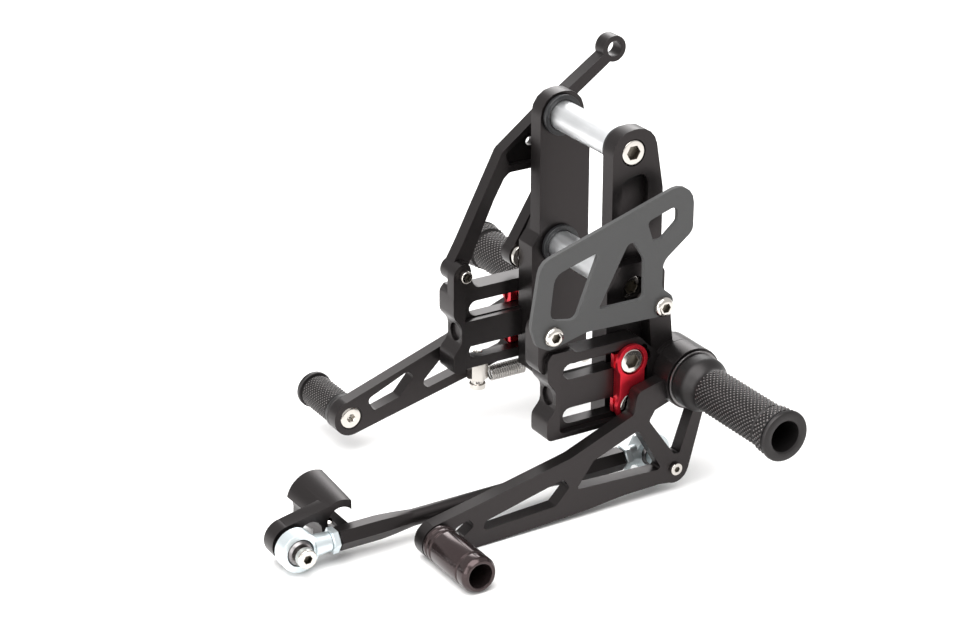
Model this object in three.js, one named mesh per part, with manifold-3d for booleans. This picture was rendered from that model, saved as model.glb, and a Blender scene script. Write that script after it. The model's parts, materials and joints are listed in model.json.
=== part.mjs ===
// A pair of adjustable rear-set foot controls for a motorcycle: the gear-shift side on the left (-Y), the
// brake side on the right (+Y), held apart by two spacer tubes. Millimetres, +X to the rear, +Z up.
//
// Side views are drawn in X and Z with the upper frame bolt at 0,0. Across the bike, a place is given as its
// distance s from the middle plane, and the side puts it at -Y or +Y. The whole model is moved at the end so
// that the middle of its footprint on the floor is the origin.
import * as THREE from 'three';
import * as BufferGeometryUtils from 'three/addons/utils/BufferGeometryUtils.js';
import Module from 'manifold-3d';

const wasm = await Module();
wasm.setup();

// ---- driving dimensions ----------------------------------------------------------------------------------
const LEFT = -1;
const RIGHT = 1;
const GAP = 0.3;                      // clearance between neighbouring pieces
const ORIGIN = { x: 75.55, z: 177.6 }; // from the upper frame bolt to the middle of the footprint

const FRAME_BOLT_DROP = 71;           // lower frame bolt below the upper one
const ADAPTER = { inner: 28.6, outer: 37.6 };
const PAD = { inner: 28.6, outer: 41.4, front: -16.5, rear: 18, bottom: -141 };
const SLIDE = { inner: 37.9, web: 41.7, floor: 48.8, outer: 52.6 };
const SLOT = { z: -115, pitch: 24, height: 8.4, front: -46.5, rear: 3 };
const CLAMP = { x: -9.5, inner: 49.1, step: 52.9, outer: 55.1, radius: 9, innerRadius: 6.6 };
const PEG_AXIS = { x: 20, z: -115 };
const LEVER = { inner: 55.6, outer: 63, hubInner: 52.9, hubOuter: 66.2, hubRadius: 16.2 };
const PEG = { base: 67.9, tip: 142.6, bore: 8.1 };
const SHIFT_TOE = { x: -126, z: -168.1, radius: 9.3, tip: 102.6 };
const BRAKE_TOE = { x: -109.6, z: -155.5, radius: 9.6, tip: 98.2 };
const SHIFT_LINK = { x: 12.6, z: -164.6 };
const BRAKE_LINK = { x: 28.5, z: -149 };
const ROD = {
  s: 39.6, frontX: -190.8, frontZ: -165.3, rearEnd: 13.3, frontEnd: 17.1, eye: 10.3, ball: 7.6, ballHalf: 5,
};
const ARM = {
  inner: 22.6, outer: 31.8, boss: 34.3, shaftX: -162.6, shaftZ: -160.8, barrelEnd: 1.3, bore: 7.4,
  farRadius: 14.2, nearRadius: 11.3, openX: -156.8,
};
const EAR = { x: -51.5, z: -81.5, radius: 6.4 };
const GUARD = { inner: 50.1, outer: 52.6, frontX: -55.4, frontZ: -79.4, rearX: 9.3, rearZ: -78 };
const BRACKET = { inner: 44.6, outer: 52.6, eyeX: 43, eyeZ: 22.8, legX: -13.5, legZ: -80 };
const SPRING = { s: 48.4, postX: -37.5, pinX: 20, z: -146 };
const SPACER_RADIUS = 7.8;
const M8 = { hole: 4.3, shank: 4, head: 6.5, socket: 3 };
const M6 = { hole: 3.3, shank: 3, head: 5.25, socket: 2 };
const M5 = { hole: 2.8, shank: 2.5, head: 3.3, socket: 1.4 };

// ---- materials -------------------------------------------------------------------------------------------
const finish = (color, roughness, metalness) => (
  new THREE.MeshStandardMaterial({ color, roughness, metalness })
);
const blackAnodised = finish(0x2a2526, 0.42, 0.6);
const redAnodised = finish(0xc4182c, 0.35, 0.7);
const carbon = finish(0x3c3c3b, 0.55, 0.1);
const aluminium = finish(0xd9dadb, 0.3, 1);
const stainless = finish(0xc9c4ba, 0.25, 1);
const zinc = finish(0xdfe8ea, 0.35, 0.9);
const blackSteel = finish(0x1b1a1a, 0.4, 0.7);
const bronze = finish(0xa07a45, 0.4, 1);

// ---- solids ----------------------------------------------------------------------------------------------
function solid(geometry) {
  geometry.deleteAttribute('normal');
  geometry.deleteAttribute('uv');
  const merged = BufferGeometryUtils.mergeVertices(geometry, 1e-4);
  return new wasm.Manifold(new wasm.Mesh({
    numProp: 3,
    vertProperties: new Float32Array(merged.attributes.position.array),
    triVerts: new Uint32Array(merged.index.array),
  }));
}

function toGeometry(manifold) {
  const mesh = manifold.getMesh();
  const geometry = new THREE.BufferGeometry();
  geometry.setAttribute('position', new THREE.BufferAttribute(new Float32Array(mesh.vertProperties), 3));
  geometry.setIndex(new THREE.BufferAttribute(new Uint32Array(mesh.triVerts), 1));
  geometry.computeVertexNormals();
  return geometry;
}

const join = (...solids) => solids.reduce((whole, next) => whole.add(next));
const cut = (whole, ...tools) => tools.reduce((rest, tool) => rest.subtract(tool), whole);

// An outline of corners [x, z, radius]; a corner with a radius becomes an arc.
function outline(corners, stepDegrees = 24) {
  const path = [];
  corners.forEach(([x, z, radius = 0], i) => {
    const here = new THREE.Vector2(x, z);
    const before = corners[(i + corners.length - 1) % corners.length];
    const after = corners[(i + 1) % corners.length];
    const back = new THREE.Vector2(before[0] - x, before[1] - z).normalize();
    const ahead = new THREE.Vector2(after[0] - x, after[1] - z).normalize();
    const half = Math.acos(THREE.MathUtils.clamp(back.dot(ahead), -1, 1)) / 2;
    if (radius === 0 || half > 1.55) {
      path.push(here);
      return;
    }
    const reach = radius / Math.tan(half);
    const bisector = back.clone().add(ahead).normalize();
    const centre = here.clone().addScaledVector(bisector, radius / Math.sin(half));
    const from = here.clone().addScaledVector(back, reach).sub(centre);
    const turn = Math.sign(back.cross(ahead)) * -(Math.PI - 2 * half);
    const steps = Math.max(2, Math.ceil(Math.abs(turn) / THREE.MathUtils.degToRad(stepDegrees)));
    for (let k = 0; k <= steps; k += 1) {
      path.push(from.clone().rotateAround(new THREE.Vector2(), turn * k / steps).add(centre));
    }
  });
  return path;
}

function circle(x, z, radius, sides = 24) {
  return Array.from({ length: sides }, (_, k) => {
    const angle = 2 * Math.PI * k / sides;
    return new THREE.Vector2(x + radius * Math.cos(angle), z + radius * Math.sin(angle));
  });
}

// The stadium around the line between two points.
function stadium([x0, z0], [x1, z1], radius, steps = 7) {
  const heading = Math.atan2(z1 - z0, x1 - x0);
  const path = [];
  for (const [x, z, start] of [[x1, z1, heading - Math.PI / 2], [x0, z0, heading + Math.PI / 2]]) {
    for (let k = 0; k <= steps; k += 1) {
      const angle = start + Math.PI * k / steps;
      path.push(new THREE.Vector2(x + radius * Math.cos(angle), z + radius * Math.sin(angle)));
    }
  }
  return path;
}

// A plate with this side-view outline, from s0 to s1 across the bike on one side.
function plate(side, path, s0, s1) {
  const geometry = new THREE.ExtrudeGeometry(new THREE.Shape(path), { depth: s1 - s0, bevelEnabled: false });
  geometry.rotateX(Math.PI / 2);
  geometry.translate(0, side === LEFT ? -s0 : s1, 0);
  return solid(geometry);
}

const disc = (side, x, z, radius, s0, s1, sides = 20) => plate(side, circle(x, z, radius, sides), s0, s1);

function hexagon(side, x, z, acrossFlats, s0, s1) {
  return plate(side, circle(x, z, acrossFlats / Math.sqrt(3), 6), s0, s1);
}

// A turned piece whose axis runs across the bike; the profile is a list of [radius, s].
function turned(side, x, z, profile, sides = 24) {
  const points = profile.map(([radius, s]) => new THREE.Vector2(radius, s));
  const geometry = new THREE.LatheGeometry(points, sides);
  if (side === LEFT) geometry.rotateX(Math.PI);
  geometry.translate(x, 0, z);
  let shape = solid(geometry);
  if (shape.volume() < 0) shape = solid(flipped(geometry));
  return shape;
}

function flipped(geometry) {
  const index = geometry.index.array;
  for (let k = 0; k < index.length; k += 3) {
    [index[k], index[k + 1]] = [index[k + 1], index[k]];
  }
  return geometry;
}

const tube = (side, x, z, inner, outer, s0, s1, sides = 20) => turned(side, x, z, [
  [inner, s0], [outer, s0], [outer, s1], [inner, s1], [inner, s0],
], sides);

const model = new THREE.Group();
let body = new THREE.Group();

function startBody() {
  body = new THREE.Group();
  model.add(body);
}

function place(name, shape, material) {
  const mesh = new THREE.Mesh(toGeometry(shape), material);
  mesh.name = name;
  body.add(mesh);
}

// A socket screw along Y: the head's face is at s, the shank runs on to tipS.
function socketScrew(side, x, z, size, headS, headHeight, tipS) {
  const inward = Math.sign(tipS - headS);
  const under = headS + inward * headHeight;
  const socketEnd = headS + inward * headHeight * 0.7;
  const head = disc(side, x, z, size.head, Math.min(headS, under), Math.max(headS, under), 20);
  const shank = disc(side, x, z, size.shank, Math.min(under, tipS), Math.max(under, tipS), 12);
  const socket = hexagon(side, x, z, 2 * size.socket, Math.min(headS, socketEnd) - (inward > 0 ? 1 : 0),
    Math.max(headS, socketEnd) + (inward > 0 ? 0 : 1));
  return cut(join(head, shank), socket);
}

// ---- adapter plates and what holds them together ---------------------------------------------------------
const upperPlate = outline([
  [-12, -72], [-12, 12, 12], [12.2, 12, 11.5], [18, -21.5, 8], [18, -72],
]);
const padSide = outline([
  [PAD.front, PAD.bottom, 2], [PAD.rear, PAD.bottom, 2], [PAD.rear, -64, 3], [10, -57, 3],
  [-9, -57, 3], [-12.3, -64, 2], [PAD.front, -69.5, 1],
]);
const lightening = outline([[-6.5, -60, 2], [9, -60, 2], [9, -11, 5], [-6.5, -13.5, 6]]);

function adapterPlate(side) {
  const rail = outline([
    [PAD.front - 1, SLOT.z - 7.5], [PAD.rear + 1, SLOT.z - 7.5],
    [PAD.rear + 1, SLOT.z + 7.5], [PAD.front - 1, SLOT.z + 7.5],
  ]);
  const bolts = [
    disc(side, 0, 0, M8.hole, ADAPTER.inner - 1, ADAPTER.outer + 1),
    disc(side, 0, 0, 7, ADAPTER.outer - 5, ADAPTER.outer + 1),
    disc(side, 0, -FRAME_BOLT_DROP, M8.hole, PAD.inner - 1, PAD.outer + 1),
    disc(side, 0, -FRAME_BOLT_DROP, 7, PAD.outer - 8.4, PAD.outer + 1),
  ];
  for (const row of [-0.5, 0.5]) {
    bolts.push(disc(side, CLAMP.x, SLOT.z + row * SLOT.pitch, M8.hole, PAD.inner - 1, PAD.outer + 1));
  }
  return cut(
    join(plate(side, upperPlate, ADAPTER.inner, ADAPTER.outer), plate(side, padSide, PAD.inner, PAD.outer)),
    plate(side, lightening, ADAPTER.outer - 4, ADAPTER.outer + 1).subtract(
      plate(side, padSide, ADAPTER.outer - 5, ADAPTER.outer + 2)),
    plate(side, rail, PAD.outer - 3.8, PAD.outer + 1),
    ...bolts,
  );
}

function spacerTube(z, reach) {
  const profile = [
    [M8.hole, -reach], [SPACER_RADIUS, -reach], [SPACER_RADIUS, reach], [M8.hole, reach], [M8.hole, -reach],
  ];
  return turned(RIGHT, 0, z, profile, 28);
}

function clampBar(side) {
  const upper = [CLAMP.x, SLOT.z + SLOT.pitch / 2];
  const lower = [CLAMP.x, SLOT.z - SLOT.pitch / 2];
  const waist = outline([
    [CLAMP.x - 7.2, lower[1]], [CLAMP.x + 7.2, lower[1]],
    [CLAMP.x + 7.2, upper[1]], [CLAMP.x - 7.2, upper[1]],
  ]);
  const pieces = [plate(side, waist, CLAMP.inner, CLAMP.outer)];
  const holes = [];
  for (const [x, z] of [upper, lower]) {
    const fin = outline([[x - 8, z - 3.7], [x + 5, z - 3.7], [x + 5, z + 3.7], [x - 8, z + 3.7]]);
    pieces.push(disc(side, x, z, CLAMP.radius, CLAMP.step, CLAMP.outer, 28));
    pieces.push(disc(side, x, z, CLAMP.innerRadius, CLAMP.inner, CLAMP.step, 24));
    pieces.push(plate(side, fin, 47.6, CLAMP.inner + 1));
    holes.push(disc(side, x, z, M8.hole, 40, CLAMP.outer + 1));
    holes.push(disc(side, x, z, 7, CLAMP.outer - 4.2, CLAMP.outer + 1));
  }
  return cut(join(...pieces), ...holes);
}

function rootBody() {
  startBody();
  for (const [word, side] of [['left', LEFT], ['right', RIGHT]]) {
    place(`${word}_adapter_plate`, adapterPlate(side), blackAnodised);
    place(`${word}_upper_collar`,
      tube(side, 0, 0, SPACER_RADIUS + GAP, 10.8, ADAPTER.inner - 2.9, ADAPTER.inner - GAP), blackAnodised);
    place(`${word}_lower_collar`,
      tube(side, 0, -FRAME_BOLT_DROP, SPACER_RADIUS + GAP, 10.8, PAD.inner - 2.9, PAD.inner - GAP),
      blackAnodised);
    place(`${word}_upper_frame_bolt`,
      socketScrew(side, 0, 0, M8, ADAPTER.outer, 4.7, 12), stainless);
    place(`${word}_lower_frame_bolt`,
      socketScrew(side, 0, -FRAME_BOLT_DROP, M8, PAD.outer - 3.4, 4.7, 12), stainless);
    place(`${word}_clamp_bar`, clampBar(side), redAnodised);
    for (const [row, level] of [['upper', 0.5], ['lower', -0.5]]) {
      place(`${word}_clamp_bolt_${row}`,
        socketScrew(side, CLAMP.x, SLOT.z + level * SLOT.pitch, M8, CLAMP.outer - 0.4, 3.5, PAD.inner + 2),
        stainless);
    }
  }
  place('upper_spacer_tube', spacerTube(0, ADAPTER.inner - GAP), aluminium);
  place('lower_spacer_tube', spacerTube(-FRAME_BOLT_DROP, PAD.inner - GAP), aluminium);
}

// ---- sliding peg carriages -------------------------------------------------------------------------------
const carriageFront = outline([
  [-58, -136.5, 3], [-58, -125.5, 5], [-53, -120, 6], [-53, -110, 6], [-58, -104, 5], [-58, -92.5, 4],
  [-54, -88], [-54, -84], [-46, -84], [-42.5, -91.5, 4], [-4, -91.5, 4], [8, -104], [32, -126], [18, -131],
  [2, -136.5, 6],
]);
const frontWall = outline([[-70, -150], [-51, -150], [-51, -60], [-70, -60]]);
const railSide = outline([
  [-60, SLOT.z - 7.2], [14, SLOT.z - 7.2], [14, SLOT.z + 7.2], [-60, SLOT.z + 7.2],
]);
const recess = outline([[-50.5, -133.9, 2.5], [1, -133.9, 2.5], [1, -96.1, 2.5], [-50.5, -96.1, 2.5]]);

function slidePlate(side) {
  const earOuter = side === LEFT ? GUARD.inner - GAP : BRACKET.inner - GAP;
  const ear = side === LEFT ? [GUARD.frontX, GUARD.frontZ] : [EAR.x, EAR.z];
  const base = join(
    plate(side, carriageFront, SLIDE.inner, SLIDE.outer),
    disc(side, PEG_AXIS.x, PEG_AXIS.z, LEVER.hubRadius, SLIDE.web, SLIDE.outer, 36),
  );
  const overEar = outline([[-70, -89.5], [-36, -89.5], [-36, -60], [-70, -60]]);
  const lugs = [plate(side, stadium(ear, [ear[0], -95], EAR.radius), SLIDE.inner, earOuter)];
  if (side === LEFT) {
    lugs.push(plate(side, stadium([GUARD.rearX, GUARD.rearZ], [12, -104], EAR.radius), SLIDE.web, earOuter));
  }
  const behind = cut(
    plate(side, outline([[-51, -150], [60, -150], [60, -50], [-51, -50]]), SLIDE.inner - 1, SLIDE.web),
    plate(side, railSide, SLIDE.inner - 2, SLIDE.web + 1),
  );
  const tools = [behind, plate(side, overEar, earOuter, SLIDE.outer + 1)];
  tools.push(plate(side, recess, SLIDE.floor, SLIDE.outer + 1));
  for (const level of [-0.5, 0.5]) {
    const z = SLOT.z + level * SLOT.pitch;
    const ends = [[SLOT.front + SLOT.height / 2, z], [SLOT.rear - SLOT.height / 2, z]];
    tools.push(plate(side, stadium(...ends, SLOT.height / 2), SLIDE.inner - 1, SLIDE.outer + 1));
  }
  const earHole = side === LEFT ? M6.hole : M5.hole;
  tools.push(disc(side, ear[0], ear[1], earHole, SLIDE.inner - 1, SLIDE.outer + 1, 20));
  if (side === LEFT) {
    tools.push(disc(side, GUARD.rearX, GUARD.rearZ, M6.hole, SLIDE.inner - 1, SLIDE.outer, 20));
  }
  tools.push(disc(side, PEG_AXIS.x, PEG_AXIS.z, M8.hole, SLIDE.inner - 1, SLIDE.outer + 1));
  if (side === RIGHT) {
    tools.push(solid(new THREE.CylinderGeometry(2.8, 2.8, 10, 16).rotateX(Math.PI / 2)
      .translate(SPRING.postX, SPRING.s, -135)));
  }
  // adjuster bore in the front end
  tools.push(solid(new THREE.CylinderGeometry(4.9, 4.9, 8, 24).rotateZ(Math.PI / 2)
    .translate(-55.5, side * 45, SLOT.z)));
  return cut(join(base, ...lugs), ...tools);
}

const guardSide = outline([
  [-62.5, -40, 9], [26.4, -12.6, 10], [26.4, -41, 6], [9, -54, 8], [8.5, -68, 5], [15.6, -74, 5],
  [15.4, -83.8, 6], [-2, -83, 8], [-36, -81.8, 20], [-47, -84.6, 8], [-57, -87, 5], [-64.5, -83, 4],
  [-67.8, -73, 8],
]);
const guardWindows = [
  outline([[-28.6, -40.6, 1.6], [-54.5, -47.8, 7], [-57.3, -71, 5], [-42, -74, 4]]),
  outline([[-10.5, -37, 3], [-29, -71.3, 1], [-2, -71.6, 2.5], [-2.3, -50.5, 4]]),
  outline([[-1.2, -31, 2.5], [16.8, -25.4, 3], [16.8, -34, 3], [7.5, -42, 3], [2.6, -41.8, 2]]),
];

function heelGuard() {
  const tools = guardWindows.map((path) => plate(LEFT, path, GUARD.inner - 1, GUARD.outer + 1));
  for (const [x, z] of [[GUARD.frontX, GUARD.frontZ], [GUARD.rearX, GUARD.rearZ]]) {
    tools.push(disc(LEFT, x, z, M6.hole, GUARD.inner - 1, GUARD.outer + 1, 20));
  }
  return cut(plate(LEFT, guardSide, GUARD.inner, GUARD.outer), ...tools);
}

// The peg is a hollow sleeve: base flange, taper, knurled grip, end flange, with a floor for its bolt.
function pegSleeve(side) {
  const { base, tip, bore } = PEG;
  return turned(side, PEG_AXIS.x, PEG_AXIS.z, [
    [M8.hole, base], [13.8, base], [13.8, base + 6], [11.6, base + 14], [11.6, tip - 12.5], [13.2, tip - 8],
    [13.2, tip - 1.5], [12, tip], [bore, tip], [bore, base + 10], [M8.hole, base + 10], [M8.hole, base],
  ], 32);
}

function pegPieces(word, side) {
  const { x, z } = PEG_AXIS;
  place(`${word}_peg`, pegSleeve(side), blackAnodised);
  place(`${word}_peg_bolt`, socketScrew(side, x, z, M8, PEG.base + 18, 7.7, SLIDE.web + 0.8), stainless);
  place(`${word}_peg_ring`,
    tube(side, x, z, M8.hole, 15.2, LEVER.hubOuter + GAP, PEG.base - GAP, 32), stainless);
  place(`${word}_lever_bush`, tube(side, x, z, M8.hole, 10, SLIDE.outer + GAP, LEVER.hubOuter), bronze);
}

function leftCarriage() {
  startBody();
  place('left_slide_plate', slidePlate(LEFT), blackAnodised);
  place('heel_guard', heelGuard(), carbon);
  const screws = [['front', GUARD.frontX, GUARD.frontZ], ['rear', GUARD.rearX, GUARD.rearZ]];
  for (const [word, x, z] of screws) {
    place(`guard_screw_${word}`,
      socketScrew(LEFT, x, z, M6, GUARD.outer + GAP + 3.2, 3.2, SLIDE.web + 0.5), stainless);
  }
  pegPieces('left', LEFT);
}

// Master-cylinder bracket on the brake side: an arm with an eye, a front strut and a rear leg.
function cylinderBracket() {
  const { inner, outer, eyeX, eyeZ, legX, legZ } = BRACKET;
  const flat = (path, s0 = inner, s1 = outer) => plate(RIGHT, path, s0, s1);
  const arm = outline([[41.2, 16.8], [37.1, 21.1], [-6, -7.5], [13, -2.7]]);
  const frame = outline([
    [16, 0.5, 6], [-1, -3.2, 4], [-24.8, -21, 4], [-48.5, -66.5, 8], [-54.5, -77], [-51, -86], [-45.4, -80],
    [-36, -59.5], [-29.6, -46], [-23.8, -35.9, 3], [-20.5, -33, 3], [7.5, -33, 3], [-19, -76.5], [-13, -84],
    [-8, -78], [16, -38, 6],
  ]);
  const web = outline([[-23, -22.5, 2], [-20.5, -29.5, 2], [6, -29.5, 3], [11, -8, 4], [-3, -9.5, 2]]);
  return cut(
    join(flat(arm), flat(frame), flat(circle(eyeX, eyeZ, 7, 36)), flat(circle(EAR.x, EAR.z, 6, 32)),
      flat(circle(legX, legZ, 7, 32))),
    flat(web, inner - 1, inner + 3.5),
    flat(circle(eyeX, eyeZ, 4.2, 28), inner - 1, outer + 1),
    flat(circle(EAR.x, EAR.z, M5.hole, 20), inner - 1, outer + 1),
    flat(circle(legX, legZ, M6.hole, 20), inner - 1, outer + 1),
    flat(circle(-6.2, -19.5, 2.4, 20), inner - 1, outer + 1),
  );
}

function alongZ(radius, z0, z1, sides = 20) {
  return solid(new THREE.CylinderGeometry(radius, radius, z1 - z0, sides).rotateX(Math.PI / 2)
    .translate(SPRING.postX, SPRING.s, (z0 + z1) / 2));
}

function returnSpring() {
  const profile = [
    [0, -31.5], [1, -31.3], [4.2, -31], [4.2, -10], [1, -9.7], [0.8, -9.5], [0.8, 16], [0, 16.2],
  ];
  const points = profile.map(([radius, x]) => new THREE.Vector2(radius, x));
  const geometry = new THREE.LatheGeometry(points, 20);
  geometry.rotateZ(-Math.PI / 2);
  geometry.translate(0, SPRING.s, SPRING.z);
  return solid(geometry);
}

function rightCarriage() {
  startBody();
  place('right_slide_plate', slidePlate(RIGHT), blackAnodised);
  place('cylinder_bracket', cylinderBracket(), blackAnodised);
  place('bracket_screw', socketScrew(RIGHT, EAR.x, EAR.z, M5,
    SLIDE.inner - 3.2, 2.9, BRACKET.outer - 1), stainless);
  place('bracket_sleeve',
    tube(RIGHT, BRACKET.legX, BRACKET.legZ, M6.hole, 6.3, PAD.outer + GAP, BRACKET.inner - GAP), stainless);
  pegPieces('right', RIGHT);
  place('spring_post', cut(
    alongZ(5.6, -147, -136.8, 6), alongZ(2.8, -148, -136)), stainless);
  place('spring_post_screw', cut(
    join(alongZ(4.4, -152.3, -149.4, 24), alongZ(3.4, -149.4, -147.3, 24), alongZ(2.5, -147.3, -131, 16)),
    solid(new THREE.BoxGeometry(10, 1.2, 1.4).translate(SPRING.postX, SPRING.s, -152.3))), stainless);
  place('return_spring', returnSpring(), stainless);
}

// ---- shift side ------------------------------------------------------------------------------------------
function leverBlank(side, frame, rounds, windows, holes) {
  const web = (path) => plate(side, path, LEVER.inner, LEVER.outer);
  const solids = frame.map(web);
  for (const [x, z, radius] of rounds) solids.push(web(circle(x, z, radius, 28)));
  const openings = windows.map((path) => plate(side, path, LEVER.inner - 1, LEVER.outer + 1));
  const arms = cut(join(...solids), ...openings);
  const hub = disc(side, PEG_AXIS.x, PEG_AXIS.z, LEVER.hubRadius, LEVER.hubInner, LEVER.hubOuter - GAP, 36);
  const tools = [disc(side, PEG_AXIS.x, PEG_AXIS.z, 10 + GAP, SLIDE.outer - 1, LEVER.hubOuter + 1, 24)];
  for (const [x, z, radius] of holes) {
    tools.push(disc(side, x, z, radius, LEVER.inner - 1, LEVER.outer + 1, 18));
  }
  return cut(join(arms, hub), ...tools);
}

function shiftLever() {
  const frame = outline([
    [-129, -159], [-98, -152.8, 60], [-50, -142.6, 20], [-13.4, -128.3, 2], [-11.2, -116.6, 4], [4, -113],
    [8, -104], [33, -121], [20.8, -166.5], [12, -172.6], [3.2, -171.4, 12], [-17.9, -171.9],
    [-42, -174.3, 90], [-104, -177.3], [-126, -177.6],
  ]);
  const windows = [
    outline([[-117, -163.5, 1], [-108.8, -160.6, 2], [-105.8, -165, 2], [-113, -170, 2]]),
    outline([
      [-101.5, -169, 1.8], [-99.5, -164.2, 2.5], [-54.4, -153.2, 2.5], [-50.8, -158.6, 2.5], [-58.8, -167, 2],
    ]),
    outline([[-46.8, -161, 1], [-37, -147.6, 2], [-10.6, -137.6, 2], [4.6, -163, 1.5]]),
    outline([[-4, -134, 2], [3.2, -123, 3], [25, -128], [15, -157, 1.2], [11.5, -156, 1.5]]),
  ];
  const rounds = [[SHIFT_TOE.x, SHIFT_TOE.z, 9.5], [SHIFT_LINK.x, SHIFT_LINK.z, 8.3]];
  const holes = [[SHIFT_TOE.x, SHIFT_TOE.z, M6.hole], [SHIFT_LINK.x, SHIFT_LINK.z, M5.hole]];
  return leverBlank(LEFT, [frame], rounds, windows, holes);
}

// Toe pegs are hollow; their screw comes from the other face of the lever.
function shiftToePeg() {
  const { x, z, radius, tip } = SHIFT_TOE;
  const base = LEVER.outer + GAP;
  return turned(LEFT, x, z, [
    [M6.hole, base], [radius, base], [radius, tip - 2], [radius - 1.6, tip], [6.8, tip], [6.8, base + 12],
    [M6.hole, base + 12], [M6.hole, base],
  ], 32);
}

function ball(side, x, z, hole) {
  const { ball: radius, ballHalf: half } = ROD;
  const profile = [[hole, ROD.s - half]];
  for (const part of [-1, -0.6, -0.2, 0.2, 0.6, 1]) {
    profile.push([Math.sqrt(radius * radius - (part * half) ** 2), ROD.s + part * half]);
  }
  profile.push([hole, ROD.s + half], [hole, ROD.s - half]);
  return turned(side, x, z, profile, 24);
}

const rodAngle = Math.atan2(ROD.frontZ - SHIFT_LINK.z, ROD.frontX - SHIFT_LINK.x);
const rodLength = Math.hypot(ROD.frontZ - SHIFT_LINK.z, ROD.frontX - SHIFT_LINK.x);

// A solid turned or extruded along the rod: distance 0 is the rear ball, rodLength the front one.
function alongRod(geometry) {
  geometry.rotateZ(-Math.PI / 2);
  geometry.rotateY(-rodAngle);
  geometry.translate(SHIFT_LINK.x, -ROD.s, SHIFT_LINK.z);
  return solid(geometry);
}

function rodPiece(radius, from, to, sides, endRadius = radius) {
  const geometry = new THREE.CylinderGeometry(endRadius, radius, to - from, sides);
  geometry.translate(0, (from + to) / 2, 0);
  return alongRod(geometry);
}

function rodEnd(x, z, sense) {
  const at = sense > 0 ? 0 : rodLength;
  const piece = (radius, from, to, sides, endRadius) => (sense > 0
    ? rodPiece(radius, from, to, sides, endRadius)
    : rodPiece(endRadius ?? radius, at - to, at - from, sides, radius));
  const ring = disc(LEFT, x, z, ROD.eye, ROD.s - 3.7, ROD.s + 3.7, 32);
  const neck = piece(5.6, 8, sense > 0 ? ROD.rearEnd - GAP : ROD.frontEnd - GAP, 16, 5);
  const thread = piece(3.9, 12, 30, 12);
  const race = turned(LEFT, x, z, [
    [0, ROD.s - 4], [ROD.ball - 0.6, ROD.s - 4], [ROD.ball + 0.5, ROD.s], [ROD.ball - 0.6, ROD.s + 4],
    [0, ROD.s + 4],
  ], 24);
  return cut(join(ring, neck, thread), race);
}

function shiftRod() {
  const hex = 10.6 / Math.sqrt(3);
  const slim = 4;
  const start = ROD.rearEnd + 4.2;
  const end = rodLength - ROD.frontEnd - 4.2;
  const shape = join(
    rodPiece(hex, start, start + 22, 6), rodPiece(hex * 0.97, start + 21.9, start + 46, 12, slim),
    rodPiece(slim, start + 45.9, end - 45.9, 16), rodPiece(slim, end - 46, end - 21.9, 12, hex * 0.97),
    rodPiece(hex, end - 22, end, 6),
  );
  return cut(shape, rodPiece(4.3, start - 5, start + 16, 12), rodPiece(4.3, end - 16, end + 5, 12));
}

function jamNut(from, to) {
  return cut(rodPiece(11.6 / Math.sqrt(3), from, to, 6), rodPiece(4.2, from - 1, to + 1, 12));
}

// The arm holds the gear shaft in a barrel that widens inwards, open to the rear, with a set screw below.
function shiftArm() {
  const { frontX, frontZ } = ROD;
  const { inner, outer, boss, shaftX, shaftZ, barrelEnd, bore, farRadius, nearRadius, openX } = ARM;
  const bar = plate(LEFT, outline([
    [frontX - 1, frontZ + 9.4], [shaftX - 5, shaftZ + 9.9], [openX, shaftZ + 9.4],
    [shaftX + 2, shaftZ - 10.4],
    [shaftX - 9, shaftZ - 8], [frontX + 2, frontZ - 9.1],
  ]), inner, outer);
  const eye = disc(LEFT, frontX, frontZ, 9.4, inner, outer, 36);
  const barrel = turned(LEFT, shaftX, shaftZ, [
    [bore, barrelEnd], [farRadius, barrelEnd], [nearRadius, outer], [bore, outer], [bore, barrelEnd],
  ], 40);
  const notch = plate(LEFT, stadium([frontX + 11.6, frontZ + 2.2], [frontX + 10.6, frontZ - 16], 6.1),
    barrelEnd - 1, outer + 1);
  const opening = plate(LEFT, outline([
    [openX, shaftZ - 20], [openX + 20, shaftZ - 20], [openX + 20, shaftZ + 20], [openX, shaftZ + 20],
  ]), barrelEnd - 1, outer + 1);
  const screwHole = solid(new THREE.CylinderGeometry(3, 3, 12, 20).rotateX(Math.PI / 2)
    .translate(shaftX, -16, shaftZ - 11));
  return cut(
    join(bar, eye, barrel, disc(LEFT, frontX, frontZ, 7.5, inner, boss, 24)),
    disc(LEFT, shaftX, shaftZ, bore, barrelEnd - 1, outer + 1, 36), notch, opening,
    disc(LEFT, frontX, frontZ, M6.hole, inner - 1, boss + 1), screwHole,
  );
}

function setScrew() {
  const screw = solid(new THREE.CylinderGeometry(2.7, 2.7, 4.4, 20).rotateX(Math.PI / 2)
    .translate(ARM.shaftX, -16, ARM.shaftZ - 10));
  return cut(screw, solid(new THREE.CylinderGeometry(1.4, 1.4, 4, 6).rotateX(Math.PI / 2)
    .translate(ARM.shaftX, -16, ARM.shaftZ - 13)));
}

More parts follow.
